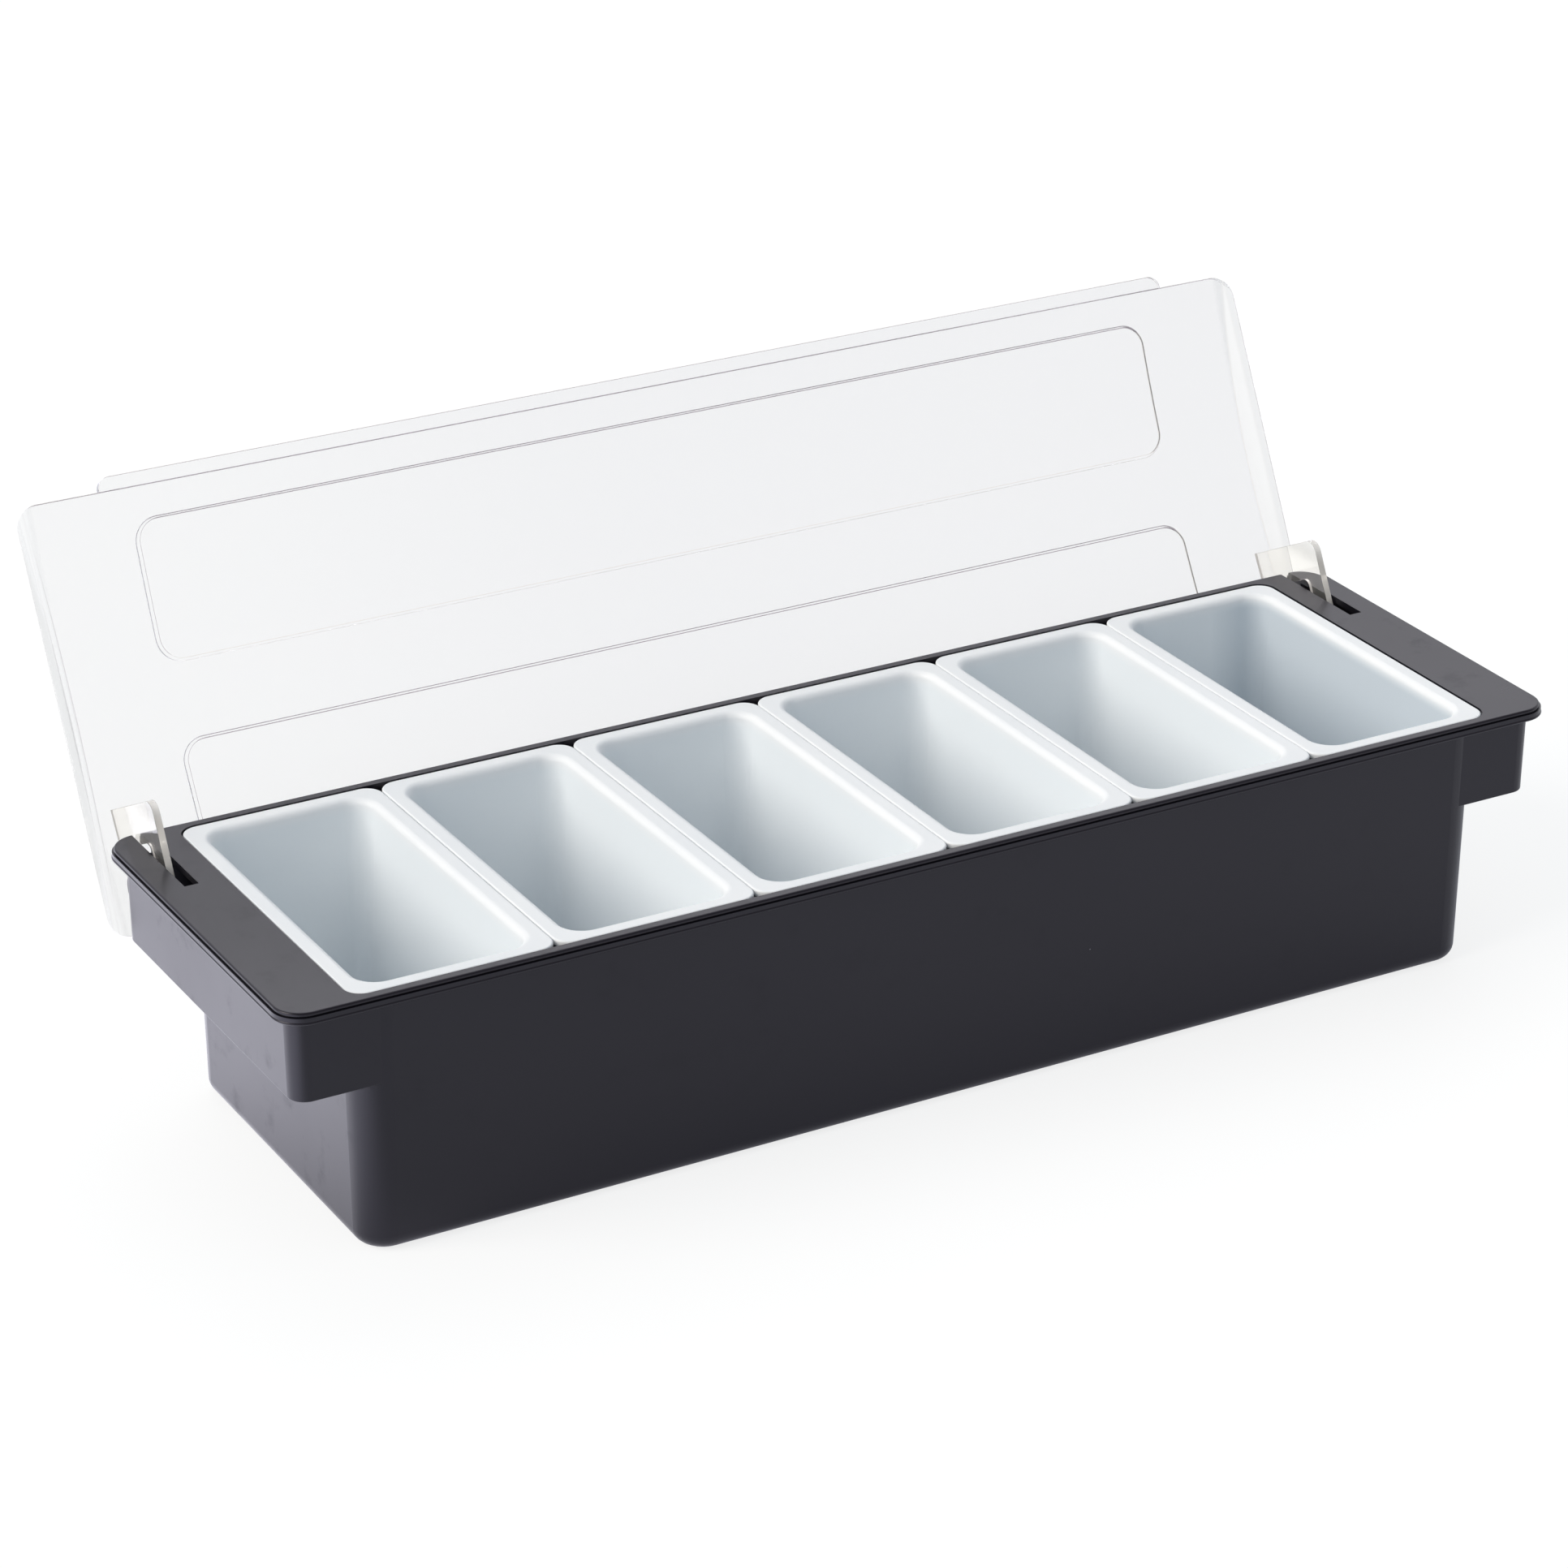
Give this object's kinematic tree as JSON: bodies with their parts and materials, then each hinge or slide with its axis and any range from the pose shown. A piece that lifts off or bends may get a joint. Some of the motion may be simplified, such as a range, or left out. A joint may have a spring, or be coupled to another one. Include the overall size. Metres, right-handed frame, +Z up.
{
  "type": "condiment caddy",
  "caption": "Long dark plastic condiment tray with a row of lift-out white inserts under a clear, low-arched lid that swings back on two hinge arms.",
  "frame": {"origin": "centre of the tray's flat bottom face", "axes": "+X along the row of inserts to the viewer's right, +Y to the hinge side at the back, +Z up"},
  "size_m": [0.502, 0.2207, 0.2016],
  "materials": {
    "tray_plastic": "injection-moulded ABS, satin",
    "insert_plastic": "moulded polypropylene, soft gloss",
    "lid_plastic": "clear moulded plastic, polished",
    "arm_plastic": "clear sheet plastic with sawn and polished edges"
  },
  "bodies": {
    "tray": {"tray": "tray_plastic"},
    "insert_1": {"insert_1": "insert_plastic"},
    "insert_2": {"insert_2": "insert_plastic"},
    "insert_3": {"insert_3": "insert_plastic"},
    "insert_4": {"insert_4": "insert_plastic"},
    "insert_5": {"insert_5": "insert_plastic"},
    "insert_6": {"insert_6": "insert_plastic"},
    "lid": {"lid": "lid_plastic", "hinge_arm_left": "arm_plastic", "hinge_arm_right": "arm_plastic"}
  },
  "joints": [
    {"name": "lid_hinge", "type": "hinge", "parent": "tray", "child": "lid", "pos_m": [0, 0.0625, 0.0837], "axis": [-1, 0, 0], "range_deg": [-118.2, 0]},
    {"name": "insert_1_lift", "type": "slide", "parent": "tray", "child": "insert_1", "axis": [0, 0, 1], "range_m": [0, 0.12]},
    {"name": "insert_2_lift", "type": "slide", "parent": "tray", "child": "insert_2", "axis": [0, 0, 1], "range_m": [0, 0.12]},
    {"name": "insert_3_lift", "type": "slide", "parent": "tray", "child": "insert_3", "axis": [0, 0, 1], "range_m": [0, 0.12]},
    {"name": "insert_4_lift", "type": "slide", "parent": "tray", "child": "insert_4", "axis": [0, 0, 1], "range_m": [0, 0.12]},
    {"name": "insert_5_lift", "type": "slide", "parent": "tray", "child": "insert_5", "axis": [0, 0, 1], "range_m": [0, 0.12]},
    {"name": "insert_6_lift", "type": "slide", "parent": "tray", "child": "insert_6", "axis": [0, 0, 1], "range_m": [0, 0.12]}
  ]
}
